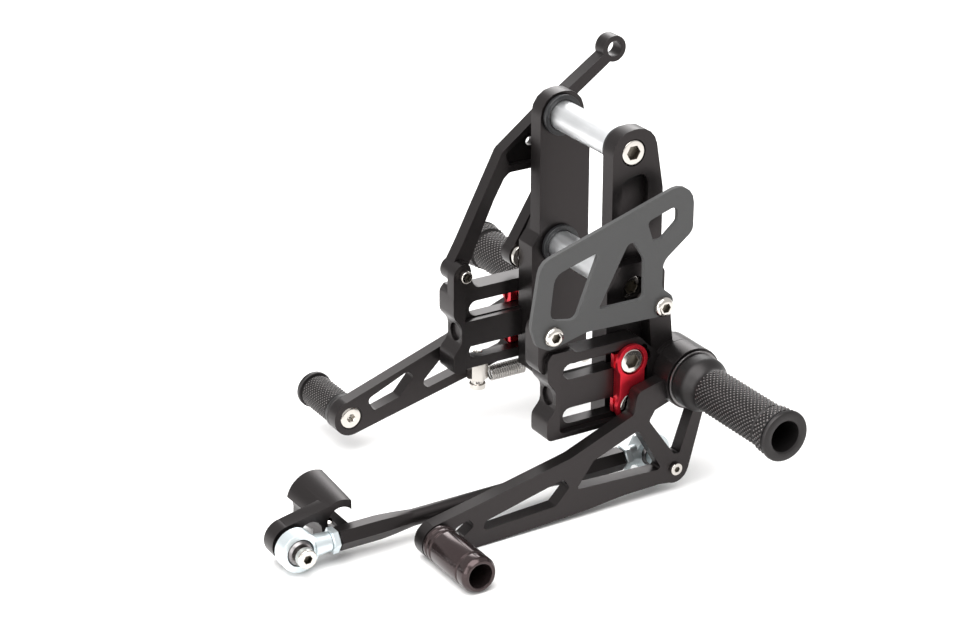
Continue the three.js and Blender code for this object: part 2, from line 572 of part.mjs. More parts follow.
function shiftSide() {
  startBody();
  place('shift_lever', shiftLever(), blackAnodised);
  place('shift_toe_peg', shiftToePeg(), blackAnodised);
  place('shift_toe_screw', socketScrew(LEFT, SHIFT_TOE.x, SHIFT_TOE.z, M6, LEVER.inner - GAP - 3.2, 3.2,
    LEVER.outer + 10), stainless);
  place('shift_link_bolt', socketScrew(LEFT, SHIFT_LINK.x, SHIFT_LINK.z, M5,
    LEVER.outer + GAP + 1.8, 1.8, 28), stainless);
  place('shift_link_spacer', tube(LEFT, SHIFT_LINK.x, SHIFT_LINK.z, M5.hole, 5.5,
    ROD.s + ROD.ballHalf + GAP, LEVER.inner - GAP), zinc);
  place('rear_ball', ball(LEFT, SHIFT_LINK.x, SHIFT_LINK.z, M5.hole), stainless);
  place('shift_link_nut', cut(hexagon(LEFT, SHIFT_LINK.x, SHIFT_LINK.z, 10, 29.2, ROD.s - ROD.ballHalf - GAP),
    disc(LEFT, SHIFT_LINK.x, SHIFT_LINK.z, M5.hole, 28, 36)), zinc);

  startBody();
  place('rear_rod_end', rodEnd(SHIFT_LINK.x, SHIFT_LINK.z, 1), zinc);
  place('rear_jam_nut', jamNut(ROD.rearEnd, ROD.rearEnd + 3.9), zinc);
  place('shift_rod', shiftRod(), blackAnodised);
  place('front_jam_nut', jamNut(rodLength - ROD.frontEnd - 3.9, rodLength - ROD.frontEnd), zinc);
  place('front_rod_end', rodEnd(ROD.frontX, ROD.frontZ, -1), zinc);

  startBody();
  place('front_ball', ball(LEFT, ROD.frontX, ROD.frontZ, M6.hole), stainless);
  place('shift_arm', shiftArm(), blackAnodised);
  place('arm_link_bolt', socketScrew(LEFT, ROD.frontX, ROD.frontZ, { ...M6, head: 4.9 },
    ROD.s + 11.2, 4.2, 21), stainless);
  place('arm_set_screw', setScrew(), stainless);
}

// ---- brake side ------------------------------------------------------------------------------------------
function brakeLever() {
  const frame = outline([
    [-113, -146.5], [-48, -124.3, 60], [10, -103], [34, -118], [36.3, -149], [28, -156.5], [14, -152],
    [13, -136, 6], [-43, -149.6, 60], [-108, -165.1],
  ]);
  const windows = [
    outline([
      [-100, -147.3, 2.5], [-96, -154.5, 2], [-80.6, -150.2, 2], [-71.9, -140.4, 2], [-75.3, -136.6, 3],
    ]),
    outline([[-67.8, -146, 3], [-63.6, -149, 2], [-15, -137, 4], [-7, -118, 5], [-50.5, -129.3, 2]]),
  ];
  const rounds = [[BRAKE_TOE.x, BRAKE_TOE.z, 9.7], [BRAKE_LINK.x, BRAKE_LINK.z, 8]];
  const holes = [[BRAKE_TOE.x, BRAKE_TOE.z, 6 + GAP], [BRAKE_LINK.x, BRAKE_LINK.z, M6.hole],
    [SPRING.pinX, SPRING.z, 2.3]];
  return leverBlank(RIGHT, [frame], rounds, windows, holes);
}

function brakeToePeg() {
  const { x, z, radius, tip } = BRAKE_TOE;
  const base = LEVER.outer + GAP;
  return turned(RIGHT, x, z, [
    [M6.hole, base], [radius, base], [radius, base + 3], [radius - 0.6, base + 4], [radius - 0.6, tip - 5],
    [radius + 0.2, tip - 4], [radius + 0.2, tip], [5.5, tip], [5.5, base + 8], [M6.hole, base + 8],
    [M6.hole, base],
  ], 32);
}

function brakeSide() {
  startBody();
  place('brake_lever', brakeLever(), blackAnodised);
  place('brake_toe_peg', brakeToePeg(), blackAnodised);
  place('brake_toe_screw', cut(
    join(disc(RIGHT, BRAKE_TOE.x, BRAKE_TOE.z, 6, LEVER.inner, LEVER.outer, 24),
      disc(RIGHT, BRAKE_TOE.x, BRAKE_TOE.z, M6.shank, LEVER.outer, LEVER.outer + 7, 12)),
    hexagon(RIGHT, BRAKE_TOE.x, BRAKE_TOE.z, 4, LEVER.inner - 1, LEVER.inner + 3)), stainless);
  place('brake_link_pin', socketScrew(RIGHT, BRAKE_LINK.x, BRAKE_LINK.z, { ...M6, head: 4.6 },
    LEVER.outer + GAP + 3, 3, 44), stainless);
  place('spring_pin', socketScrew(RIGHT, SPRING.pinX, SPRING.z, { shank: 2, head: 3.5, socket: 1.3 },
    LEVER.outer + GAP + 2.2, 2.2, SPRING.s - 4), stainless);
}

rootBody();
leftCarriage();
rightCarriage();
shiftSide();
brakeSide();
model.position.set(ORIGIN.x, 0, ORIGIN.z);

export default model;
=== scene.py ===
"""Looks for a pair of rear-set foot controls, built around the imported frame."""

import json
import math

import bmesh
import bpy
import numpy as np
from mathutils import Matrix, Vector


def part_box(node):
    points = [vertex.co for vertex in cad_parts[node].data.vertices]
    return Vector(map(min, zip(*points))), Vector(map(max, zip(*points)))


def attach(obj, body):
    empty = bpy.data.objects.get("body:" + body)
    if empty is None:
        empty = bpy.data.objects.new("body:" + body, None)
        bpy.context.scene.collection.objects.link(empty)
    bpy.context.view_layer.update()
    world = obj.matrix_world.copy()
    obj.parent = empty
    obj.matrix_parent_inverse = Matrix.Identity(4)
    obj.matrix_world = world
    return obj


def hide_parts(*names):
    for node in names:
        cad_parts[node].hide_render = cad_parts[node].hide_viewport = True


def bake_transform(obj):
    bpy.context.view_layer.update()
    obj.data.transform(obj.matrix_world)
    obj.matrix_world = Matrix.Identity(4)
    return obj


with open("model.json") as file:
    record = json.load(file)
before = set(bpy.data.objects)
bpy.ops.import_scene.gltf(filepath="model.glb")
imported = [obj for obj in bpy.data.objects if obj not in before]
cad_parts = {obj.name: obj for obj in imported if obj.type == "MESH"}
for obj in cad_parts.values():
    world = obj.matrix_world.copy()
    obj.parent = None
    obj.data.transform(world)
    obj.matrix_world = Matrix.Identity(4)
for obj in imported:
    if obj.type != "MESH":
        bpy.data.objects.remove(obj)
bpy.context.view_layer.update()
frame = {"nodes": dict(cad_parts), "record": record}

bl_info = {
    "name": "Rear-Set Foot Controls",
    "version": (1, 0, 0),
    "blender": (4, 5, 0),
    "location": "3D View > Sidebar > Foot Controls",
    "description": "Finishes a pair of adjustable foot controls around their packed frame",
    "category": "Object",
}

MM = 0.001
LEFT = -1
RIGHT = 1
SIDES = {"left": LEFT, "right": RIGHT}
BODY_OF = {n: b for b, ns in frame["record"]["behaviour"]["bodies"].items() for n in ns}
MERGE = 2e-6
FLAT_ANGLE = math.radians(0.6)
SHARP_ANGLE = math.radians(33)
BEVEL_ANGLE = math.radians(34)
GRIP_STARTS = 30
TOE_GRIP_STARTS = 26
STEPS_PER_DIAMOND = 8
TIP_SHARE = 0.8
PLAIN_HEIGHT = 0.45
SOCKET_DEPTH = 0.62


# ---- surfaces ----
def grid_faces(rows, columns, close_rows):
    """Quads between neighbouring rows of a grid whose columns run round and meet themselves."""
    count = rows if close_rows else rows - 1
    row, column = np.meshgrid(np.arange(count), np.arange(columns), indexing="ij")
    below, beside = (row + 1) % rows, (column + 1) % columns
    corners = [row * columns + column, row * columns + beside,
               below * columns + beside, below * columns + column]
    return np.stack(corners, -1).reshape(-1, 4)


def mesh_of(name, points, faces):
    """A mesh with these vertices and quads, doubles merged, faces outwards, sharp edges kept sharp."""
    mesh = bpy.data.meshes.new(name)
    mesh.vertices.add(len(points))
    mesh.vertices.foreach_set("co", np.asarray(points, np.float32).ravel())
    mesh.loops.add(faces.size)
    mesh.loops.foreach_set("vertex_index", faces.astype(np.int32).ravel())
    mesh.polygons.add(len(faces))
    mesh.polygons.foreach_set("loop_start", np.arange(0, faces.size, 4, dtype=np.int32))
    mesh.update(calc_edges=True)
    clean = bmesh.new()
    clean.from_mesh(mesh)
    bmesh.ops.remove_doubles(clean, verts=clean.verts, dist=MERGE)
    bmesh.ops.dissolve_degenerate(clean, edges=clean.edges, dist=MERGE)
    bmesh.ops.recalc_face_normals(clean, faces=clean.faces)
    clean.to_mesh(mesh)
    clean.free()
    shade(mesh)
    return mesh


def shade(mesh):
    """Smooth shading, with every edge sharper than SHARP_ANGLE left crisp."""
    mesh.polygons.foreach_set("use_smooth", np.ones(len(mesh.polygons), bool))
    mesh.set_sharp_from_angle(angle=SHARP_ANGLE)


def eased(profile, radius, steps=4):
    """A closed profile with each corner replaced by a small curve that starts and ends radius from it,
    or less on a short side. Corners on the axis stay as they are."""
    points = np.asarray(profile, float)
    before, after = np.roll(points, 1, 0) - points, np.roll(points, -1, 0) - points
    length_before, length_after = np.linalg.norm(before, axis=1), np.linalg.norm(after, axis=1)
    reach = np.minimum(radius, 0.45 * np.minimum(length_before, length_after)) * (points[:, 0] > 1e-7)
    start = points + before * (reach / length_before)[:, None]
    end = points + after * (reach / length_after)[:, None]
    t = np.linspace(0, 1, steps)[None, :, None]
    curve = (1 - t) ** 2 * start[:, None] + 2 * t * (1 - t) * points[:, None] + t**2 * end[:, None]
    return curve.reshape(-1, 2)


def frame_along(start, towards):
    """Two directions square to the line between two points, and the line's own direction."""
    line = (Vector(towards) - Vector(start)).normalized()
    across = line.cross(Vector((0, 0, 1))) if abs(line.z) < 0.9 else line.cross(Vector((1, 0, 0)))
    across.normalize()
    return np.array(across), np.array(line.cross(across)), np.array(line)


def loft(name, start, towards, radii, distances, sides=72, close_rows=True, hexness=None):
    """Rings round the line from start towards a point. Each ring has a radius and a distance along the line.
    A ring with hexness h mixes a circle with a hexagon of that half width across flats, and radii may also be
    a whole table of ring by angle."""
    u, v, w = frame_along(start, towards)
    angle = np.arange(sides) * 2 * np.pi / sides
    radii, distances = np.asarray(radii, float), np.asarray(distances, float)
    table = np.repeat(radii[:, None], sides, 1) if radii.ndim == 1 else radii
    if hexness is not None:
        flat = 1 / np.cos(angle % (np.pi / 3) - np.pi / 6)
        table = table * (1 + np.asarray(hexness, float)[:, None] * (flat - 1)[None, :])
    along = np.repeat(distances[:, None], sides, 1) if distances.ndim == 1 else distances
    ring = np.cos(angle)[None, :, None] * u + np.sin(angle)[None, :, None] * v
    points = np.array(start) + table[:, :, None] * ring + along[:, :, None] * w
    return mesh_of(name, points.reshape(-1, 3), grid_faces(len(table), sides, close_rows))


def tube_along(name, path, radius, sides=10):
    """A round wire along a path: rings square to the path, carried along it, with domed ends."""
    path = np.asarray(path, float)
    tangent = np.gradient(path, axis=0)
    tangent /= np.linalg.norm(tangent, axis=1)[:, None]
    normal = np.cross(tangent, [0.31, 0.17, 0.93])
    normal /= np.linalg.norm(normal, axis=1)[:, None]
    binormal = np.cross(tangent, normal)
    angle = np.arange(sides) * 2 * np.pi / sides
    ring = np.cos(angle)[None, :, None] * normal[:, None] + np.sin(angle)[None, :, None] * binormal[:, None]
    size = np.full(len(path), radius)
    size[[0, -1]] = 0
    size[[1, -2]] = radius * 0.8
    points = path[:, None] + size[:, None, None] * ring
    return mesh_of(name, points.reshape(-1, 3), grid_faces(len(path), sides, False))


# ---- placing pieces ----
def place(mesh, finish, *nodes, body=None):
    """Puts a mesh in the scene as the looks of these nodes, riding on their body."""
    piece = bpy.data.objects.new(mesh.name, mesh)
    bpy.context.scene.collection.objects.link(piece)
    mesh.materials.clear()
    mesh.materials.append(finish)
    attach(piece, body or BODY_OF[nodes[0]])
    if nodes:
        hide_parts(*nodes)
    return piece


def machined(node, finish, edge, segments=2):
    """A copy of a milled node: its flat faces merged back into whole faces, and its edges broken by a bevel
    this wide in mm."""
    mesh = frame["nodes"][node].data.copy()
    mesh.name = node + "_finished"
    clean = bmesh.new()
    clean.from_mesh(mesh)
    bmesh.ops.remove_doubles(clean, verts=clean.verts, dist=MERGE)
    bmesh.ops.dissolve_limit(clean, angle_limit=FLAT_ANGLE, verts=clean.verts, edges=clean.edges)
    clean.to_mesh(mesh)
    clean.free()
    shade(mesh)
    piece = place(mesh, finish, node)
    bevel = piece.modifiers.new("broken_edges", "BEVEL")
    bevel.limit_method = "ANGLE"
    bevel.angle_limit = BEVEL_ANGLE
    bevel.width = edge * MM
    bevel.segments = segments
    bevel.use_clamp_overlap = True
    bevel.harden_normals = True
    return piece


class Spot:
    """Where a node stands: its middle, half width and ends along Y. Distances start at its outer end."""

    def __init__(self, node, side):
        self.low, self.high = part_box(node)
        self.side = side
        self.middle = (self.low + self.high) / 2
        self.radius = (self.high.x - self.low.x) / 2
        self.face = self.high.y if side > 0 else self.low.y
        self.back = self.low.y if side > 0 else self.high.y
        self.length = abs(self.face - self.back)

    def start(self):
        return (self.middle.x, self.face, self.middle.z)

    def towards(self):
        return (self.middle.x, self.back, self.middle.z)


def turned(node, side, profile, finish, ease=0.25, sides=72):
    """A lathe piece in place of a node: a profile of radius and distance in from its outer face, in mm."""
    spot = Spot(node, side)
    curve = eased(np.array(profile) * MM, ease * MM)
    mesh = loft(node + "_turned", spot.start(), spot.towards(), curve[:, 0], curve[:, 1], sides)
    return place(mesh, finish, node)


def sleeve(node, side, bore, finish, ease=0.4, sides=72):
    """A plain tube in place of a node, with the node's own outer size and this bore."""
    spot = Spot(node, side)
    outer, length = spot.radius / MM, spot.length / MM
    return turned(node, side, [[bore, 0], [outer, 0], [outer, length], [bore, length]], finish, ease, sides)


def socket_screw(node, side, height, shank, socket, finish, dome=0.0, edge=0.5):
    """A screw with a hexagon socket. Its rings go from the socket's floor up its six walls, over the face and
    rim, and down the shank to the tip. A domed head drops from the face to the rim along a quarter ellipse."""
    spot = Spot(node, side)
    rim = spot.radius / MM
    depth = height * SOCKET_DEPTH
    face = rim - edge if dome == 0 else socket * 1.4
    sweep = np.linspace(0, np.pi / 2, 7)
    if dome:
        shoulder = np.stack([face + (rim - face) * np.sin(sweep), dome * (1 - np.cos(sweep))], 1)
    else:
        shoulder = np.stack([face + edge * np.sin(sweep), edge * (1 - np.cos(sweep))], 1)
    rings = [[0, depth + 0.5, 0], [socket * 0.99, depth, 1], [socket, depth, 1], [socket, 0.2, 1],
             [socket * 1.05, 0, 1]]
    rings += [[r, d, 0] for r, d in shoulder]
    rings += [[rim, height - 0.3, 0], [rim - 0.3, height, 0], [shank, height, 0]]
    tip = spot.length / MM
    rings += [[shank, tip - 0.8, 0], [shank - 0.6, tip, 0], [0, tip, 0]]
    radii, distances, hexness = np.array(rings).T
    mesh = loft(node + "_screw", spot.start(), spot.towards(), radii * MM, distances * MM, 48, False, hexness)
    piece = place(mesh, finish, node)
    shadow_socket(piece, spot, socket * MM)
    return piece


def shadow_socket(piece, spot, socket):
    """Paints shade into the walls and floor of a socket with a darker finish: the faces below the head's face.
    """
    mesh = piece.data
    # painted shade: the socket's walls and floor get a darker steel than the head
    mesh.materials.append(finish_of("socket_painted_shade"))
    centres = np.empty(len(mesh.polygons) * 3)
    mesh.polygons.foreach_get("center", centres)
    centres = centres.reshape(-1, 3)
    out = np.hypot(centres[:, 0] - spot.middle.x, centres[:, 2] - spot.middle.z)
    down = np.abs(centres[:, 1] - spot.face)
    painted_shade_faces = (out < socket * 1.2) & (down > 0.00008) & (down < spot.length * 0.6)
    mesh.polygons.foreach_set("material_index", painted_shade_faces.astype(np.int32))


def knurl(angle, along, starts, pitch, depth):
    """Height of a diamond knurl: the lower of two triangle waves that run round the piece in opposite helices,
    with the tips taken off."""
    helix_a = starts * angle / (2 * np.pi) + along / pitch
    helix_b = starts * angle / (2 * np.pi) - along / pitch
    wave_a, wave_b = (1 - np.abs(2 * (h % 1) - 1) for h in (helix_a, helix_b))
    return depth * np.minimum(np.minimum(wave_a, wave_b), TIP_SHARE)


def knurled(node, side, before, after, start, end, core, starts, pitch, depth, name):
    """A turned piece with a knurled stretch. Plain profiles lead up to it and on from it, and between start and
    end the knurl's height is added to the core's radius."""
    spot = Spot(node, side)
    sides = starts * STEPS_PER_DIAMOND
    angle = np.arange(sides) * 2 * np.pi / sides
    rows = max(STEPS_PER_DIAMOND, int(round((end - start) / pitch * STEPS_PER_DIAMOND)))
    along = np.linspace(start, end, rows + 1)
    share = (along - start) / (end - start)
    fade = np.clip(np.minimum(share, 1 - share) * (end - start) / 0.5, 0, 1)
    height = knurl(angle[None, :], along[:, None], starts, pitch, depth) * fade[:, None]
    grip = core + height
    tables = [np.repeat(np.array(p)[:, :1], sides, 1) for p in (before, after)]
    places = [np.repeat(np.array(p)[:, 1:], sides, 1) for p in (before, after)]
    table = np.vstack([tables[0], grip, tables[1]]) * MM
    place_along = np.vstack([places[0], np.repeat(along[:, None], sides, 1), places[1]]) * MM
    mesh = loft(name, spot.start(), spot.towards(), table, place_along, sides)
    mark_tips(mesh, spot, start, end, (core, core), depth)
    return place(mesh, finish_of("grip_anodised_painted_light"), node)


def mark_tips(mesh, spot, start, end, radii, depth):
    """Writes how high each vertex stands on the knurl, from 0 in the grooves to 1 on the tips, as the attribute
    that the grip's finish reads. The core's radius runs from the first of radii to the second between start and
    end. Plain stretches get a middling value."""
    points = np.empty(len(mesh.vertices) * 3)
    mesh.vertices.foreach_get("co", points)
    points = points.reshape(-1, 3)
    out = np.hypot(points[:, 0] - spot.middle.x, points[:, 2] - spot.middle.z) / MM
    along = np.abs(points[:, 1] - spot.face) / MM
    core = np.interp(along, (start, end), radii)
    height = np.clip((out - core) / (depth * TIP_SHARE), 0, 1)
    plain = (along < start) | (along > end) | (out < core * 0.9)
    tips = mesh.attributes.new("knurl_height", "FLOAT", "POINT")
    tips.data.foreach_set("value", np.where(plain, PLAIN_HEIGHT, height).astype(np.float32))


# ---- finishes ----
class Value:
    """One socket of a finish, so that shader maths is written as an expression."""

    def __init__(self, finish, socket):
        self.finish, self.socket = finish, socket

    def maths(self, operation, *values):
        return self.finish.node("ShaderNodeMath", {"operation": operation}, dict(enumerate(values)))

    def __add__(self, other):
        return self.maths("ADD", self, other)

    def __radd__(self, other):
        return self.maths("ADD", other, self)

    def __sub__(self, other):
        return self.maths("SUBTRACT", self, other)

    def __rsub__(self, other):
        return self.maths("SUBTRACT", other, self)

    def __mul__(self, other):
        return self.maths("MULTIPLY", self, other)

    def __rmul__(self, other):
        return self.maths("MULTIPLY", other, self)

    def __truediv__(self, other):
        return self.maths("DIVIDE", self, other)

    def floor(self):
        return self.maths("FLOOR", self)

    def wrapped(self):
        return self.maths("FRACT", self)

    def distance(self):
        return self.maths("ABSOLUTE", self)

    def above(self, level):
        return self.maths("GREATER_THAN", self, level)

    def wave(self):
        return self.maths("SINE", self)


class Finish:
    """A material and the nodes that make it."""

    def __init__(self, name):
        self.material = bpy.data.materials.new(name)
        self.material.use_nodes = True
        self.nodes = self.material.node_tree.nodes
        self.links = self.material.node_tree.links
        self.shader = self.nodes["Principled BSDF"]

    def node(self, kind, settings=None, inputs=None, output=0):
        made = self.nodes.new(kind)
        for key, value in (settings or {}).items():
            if key == "stops":
                for stop, (position, colour) in zip(made.color_ramp.elements, value):
                    stop.position, stop.color = position, colour
            else:
                setattr(made, key, value)
        for key, value in (inputs or {}).items():
            if isinstance(value, Value):
                self.links.new(value.socket, made.inputs[key])
            else:
                made.inputs[key].default_value = value
        return Value(self, made.outputs[output])

    def feed(self, **inputs):
        for key, value in inputs.items():
            socket = self.shader.inputs[key.replace("_", " ")]
            if isinstance(value, Value):
                self.links.new(value.socket, socket)
            else:
                socket.default_value = value
        return self

    def place(self, scale=(1, 1, 1)):
        coordinates = self.node("ShaderNodeTexCoord", output="Object")
        return self.node("ShaderNodeMapping", inputs={"Vector": coordinates, "Scale": scale})

    def noise(self, scale, detail=2.0, roughness=0.5, stretch=(1, 1, 1)):
        inputs = {"Vector": self.place(stretch), "Scale": scale, "Detail": detail, "Roughness": roughness}
        return self.node("ShaderNodeTexNoise", inputs=inputs)

    def mix(self, factor, first, second):
        return self.node("ShaderNodeMix", {"data_type": "RGBA"}, {0: factor, 6: first, 7: second}, output=2)

    def bump(self, height, distance, strength):
        inputs = {"Height": height, "Distance": distance, "Strength": strength}
        return self.node("ShaderNodeBump", inputs=inputs)


def shaded(colour, factor, tint=(1, 1, 1)):
    return tuple(min(1.0, c * factor * t) for c, t in zip(colour[:3], tint)) + (1,)


def anodised(name, colour, roughness, metallic, coat=0.0):
    """Blasted and dyed aluminium: a fine grain in the bump, cloudy roughness, and a slow drift of the dye."""
    finish = Finish(name)
    cloud = finish.noise(28, 3)
    grain = finish.noise(2600, 2, 0.6)
    drift = finish.mix(cloud, shaded(colour, 0.82, (1.04, 0.98, 1.02)), shaded(colour, 1.2, (1.0, 1.0, 0.98)))
    finish.feed(Base_Color=drift, Metallic=metallic,
                Roughness=roughness + 0.12 * (cloud - 0.5) + 0.08 * grain,
                Normal=finish.bump(grain, 0.00004, 0.5), Coat_Weight=coat, Coat_Roughness=0.25)
    return finish.material


def knurled_dye_painted_light(name, colour):
    """Dyed aluminium on a knurled grip: dull, darkened to nearly black in the grooves by painted shade, with a
    painted highlight brightening the tips.
    """
    finish = Finish(name)
    height = finish.node("ShaderNodeAttribute", {"attribute_name": "knurl_height"}, output=2)
    grain = finish.noise(1800, 2, 0.6)
    tips = height.above(0.8)
    # painted shade: the colour falls to a third of the dye in the knurl's grooves
    groove_shade = finish.mix(height, shaded(colour, 0.35), shaded(colour, 1.1))
    # painted highlight: the tips are mixed towards a colour six and a half times the dye
    finish.feed(Base_Color=finish.mix(tips * 0.8, groove_shade, shaded(colour, 6.5, (1, 0.98, 0.96))), Metallic=0.75,
                Roughness=0.44 - 0.14 * height + 0.08 * grain, Normal=finish.bump(grain, 0.00003, 0.4))
    return finish.material


def carbon_plate(name, colour):
    """Matt laminate: a two by two twill in the plane of the plate, mottled resin, and paler cut edges."""
    finish = Finish(name)
    across = finish.node("ShaderNodeSeparateXYZ", inputs={0: finish.place((420, 420, 420))}, output=0)
    up = finish.node("ShaderNodeSeparateXYZ", inputs={0: finish.place((420, 420, 420))}, output=2)
    twill = ((across.floor() + up.floor()) / 4).wrapped().above(0.4)
    threads = (across * 25.0).wave() * twill + (up * 25.0).wave() * (1 - twill)
    mottle = finish.noise(110, 6, 0.72)
    streaks = finish.noise(420, 4, 0.7, (1, 1, 0.12))
    patch = (mottle - 0.5) * 1.6 + (streaks - 0.5) * 1.5
    weave = finish.mix(twill * 0.3 + 0.35 + patch, shaded(colour, 0.15), shaded(colour, 2.3, (1, 0.96, 0.9)))
    normal = finish.node("ShaderNodeTexCoord", output="Normal")
    facing = finish.node("ShaderNodeSeparateXYZ", inputs={0: normal}, output=1).distance()
    cut_edge = 1 - facing.above(0.75)
    whole = finish.mix(cut_edge * (0.55 + 0.4 * mottle), weave, shaded(colour, 2.0, (1, 0.98, 0.94)))
    finish.feed(Base_Color=whole, Metallic=0.0, Roughness=0.5 + 0.2 * mottle,
                Normal=finish.bump(threads * 0.2 + mottle, 0.00006, 0.6))
    finish.feed(Specular_IOR_Level=0.3)
    return finish.material


def bright_metal(name, colour, roughness, brushed=(1, 1, 1)):
    """Polished or plated metal: tool marks stretched along the piece, and clouds in colour and roughness."""
    finish = Finish(name)
    marks = finish.noise(900, 3, 0.6, brushed)
    cloud = finish.noise(90, 3)
    tone = finish.mix(cloud, shaded(colour, 0.88), shaded(colour, 1.06))
    finish.feed(Base_Color=tone, Metallic=1.0,
                Roughness=roughness * (0.75 + 0.5 * marks) + 0.08 * (cloud - 0.5),
                Normal=finish.bump(marks, 0.00003, 0.4))
    return finish.material


def moulded(name, colour, roughness):
    """Black plastic or blackened steel: a soft orange-peel bump and uneven gloss."""
    finish = Finish(name)
    peel = finish.noise(700, 2)
    finish.feed(Base_Color=finish.mix(peel, shaded(colour, 0.8), shaded(colour, 1.25)), Metallic=0.0,
                Roughness=roughness + 0.15 * (peel - 0.5), Normal=finish.bump(peel, 0.00005, 0.4))
    return finish.material


def studio_floor(name, colour):
    finish = Finish(name)
    cloud = finish.noise(2.0, 2)
    finish.feed(Base_Color=finish.mix(cloud, shaded(colour, 0.985), shaded(colour, 1.0)), Roughness=0.75,
                Specular_IOR_Level=0.2)
    return finish.material


def finish_of(word):
    """The finish with this name, made the first time that it is asked for."""
    found = bpy.data.materials.get(word)
    if found:
        return found
    colours = bpy.context.scene.foot_controls.colours
    makers = {
        "black_anodised": lambda: anodised(word, colours.black_dye, 0.32, 0.7),
        # knurled grip finish with painted shade in the grooves and painted highlights on the tips
        "grip_anodised_painted_light": lambda: knurled_dye_painted_light(word, colours.grip_dye),
        "gloss_anodised": lambda: anodised(word, colours.black_dye, 0.13, 0.75),
        "red_anodised": lambda: anodised(word, colours.red_dye, 0.3, 0.75, 0.2),
        "carbon": lambda: carbon_plate(word, colours.carbon),
        "polished_tube": lambda: bright_metal(word, (0.78, 0.79, 0.80), 0.42, (1, 0.06, 1)),
        "stainless": lambda: bright_metal(word, (0.30, 0.27, 0.235), 0.3),
        # painted shade for the walls and floors of screw sockets
        "socket_painted_shade": lambda: bright_metal(word, (0.16, 0.145, 0.12), 0.35),
        "dark_steel": lambda: bright_metal(word, (0.2, 0.19, 0.19), 0.3),
        "spring_steel": lambda: bright_metal(word, (0.42, 0.40, 0.38), 0.3),
        "zinc": lambda: bright_metal(word, (0.36, 0.385, 0.38), 0.34),
        "bronze": lambda: bright_metal(word, (0.42, 0.25, 0.1), 0.35),
        "collar_plastic": lambda: moulded(word, (0.009, 0.009, 0.01), 0.42),
    }
    return makers[word]()


# ---- settings ----
def colour_property(name, description, default):
    return bpy.props.FloatVectorProperty(name=name, description=description, default=default, subtype="COLOR",
                                         size=3, min=0, max=1)


def length_property(name, description, default):
    return bpy.props.FloatProperty(name=name, description=description, default=default, unit="LENGTH", min=0)


class ColourSettings(bpy.types.PropertyGroup):
    """The dyes and surfaces of the set."""

    black_dye: colour_property("Black Dye", "Colour of the black anodised plates and levers",
                               (0.050, 0.037, 0.037))
    grip_dye: colour_property("Grip Dye", "Colour of the knurled pegs", (0.040, 0.037, 0.037))
    red_dye: colour_property("Red Dye", "Colour of the clamp bars", (0.62, 0.012, 0.03))
    carbon: colour_property("Carbon", "Colour of the heel guard's laminate", (0.046, 0.046, 0.043))
    floor: colour_property("Floor", "Colour of the studio floor", (0.93, 0.925, 0.92))


class SizeSettings(bpy.types.PropertyGroup):
    """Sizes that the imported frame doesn't fix."""

    knurl_pitch: length_property("Knurl Pitch", "Length of one diamond along a peg", 0.0028)
    knurl_depth: length_property("Knurl Depth", "Height of the diamonds", 0.0007)
    spring_wire: length_property("Spring Wire", "Thickness of the return spring's wire", 0.0011)


class StudioSettings(bpy.types.PropertyGroup):
    """Camera and light."""

    camera: bpy.props.FloatVectorProperty(name="Camera", description="Where the camera stands", unit="LENGTH",
                                          default=(-0.61795, -1.0461, 0.63233))
    azimuth: bpy.props.FloatProperty(name="Azimuth", description="Turn of the view round the set",
                                     default=math.radians(-31), subtype="ANGLE")
    elevation: bpy.props.FloatProperty(name="Elevation", description="Height of the view over the horizon",
                                       default=math.radians(24), subtype="ANGLE")
    lens: bpy.props.FloatProperty(name="Lens", description="Focal length on a 36 mm sensor", default=100.0)
    sky: bpy.props.FloatProperty(name="Surround", description="Brightness of the white surround", default=0.8)
    key: bpy.props.FloatProperty(name="Key Light", description="Power of the large overhead softbox",
                                 default=22.0)


class FootControlSettings(bpy.types.PropertyGroup):
    """All settings of the set."""

    colours: bpy.props.PointerProperty(type=ColourSettings, name="Colours")
    sizes: bpy.props.PointerProperty(type=SizeSettings, name="Sizes")
    studio: bpy.props.PointerProperty(type=StudioSettings, name="Studio")


# ---- pieces ----
class FOOT_OT_plates(bpy.types.Operator):
    """Adapter plates, their collars and the two spacer tubes between them"""

    bl_idname = "foot_controls.plates"
    bl_label = "Adapter Plates"

    def execute(self, context):
        for word, side in SIDES.items():
            machined(f"{word}_adapter_plate", finish_of("black_anodised"), 0.5)
            for row in ("upper", "lower"):
                sleeve(f"{word}_{row}_collar", side, 8.1, finish_of("collar_plastic"), 0.6)
                socket_screw(f"{word}_{row}_frame_bolt", side, 4.7, 4, 3.3, finish_of("stainless"), edge=0.7)
        for row in ("upper", "lower"):
            sleeve(f"{row}_spacer_tube", RIGHT, 4.3, finish_of("polished_tube"), 0.3, 96)
        return {"FINISHED"}


class FOOT_OT_clamps(bpy.types.Operator):
    """Red clamp bars and the bolts through them"""

    bl_idname = "foot_controls.clamps"
    bl_label = "Clamp Bars"

    def execute(self, context):
        for word, side in SIDES.items():
            machined(f"{word}_clamp_bar", finish_of("red_anodised"), 0.6, 3)
            for row in ("upper", "lower"):
                socket_screw(f"{word}_clamp_bolt_{row}", side, 3.5, 4, 3.3, finish_of("stainless"), edge=0.7)
        return {"FINISHED"}


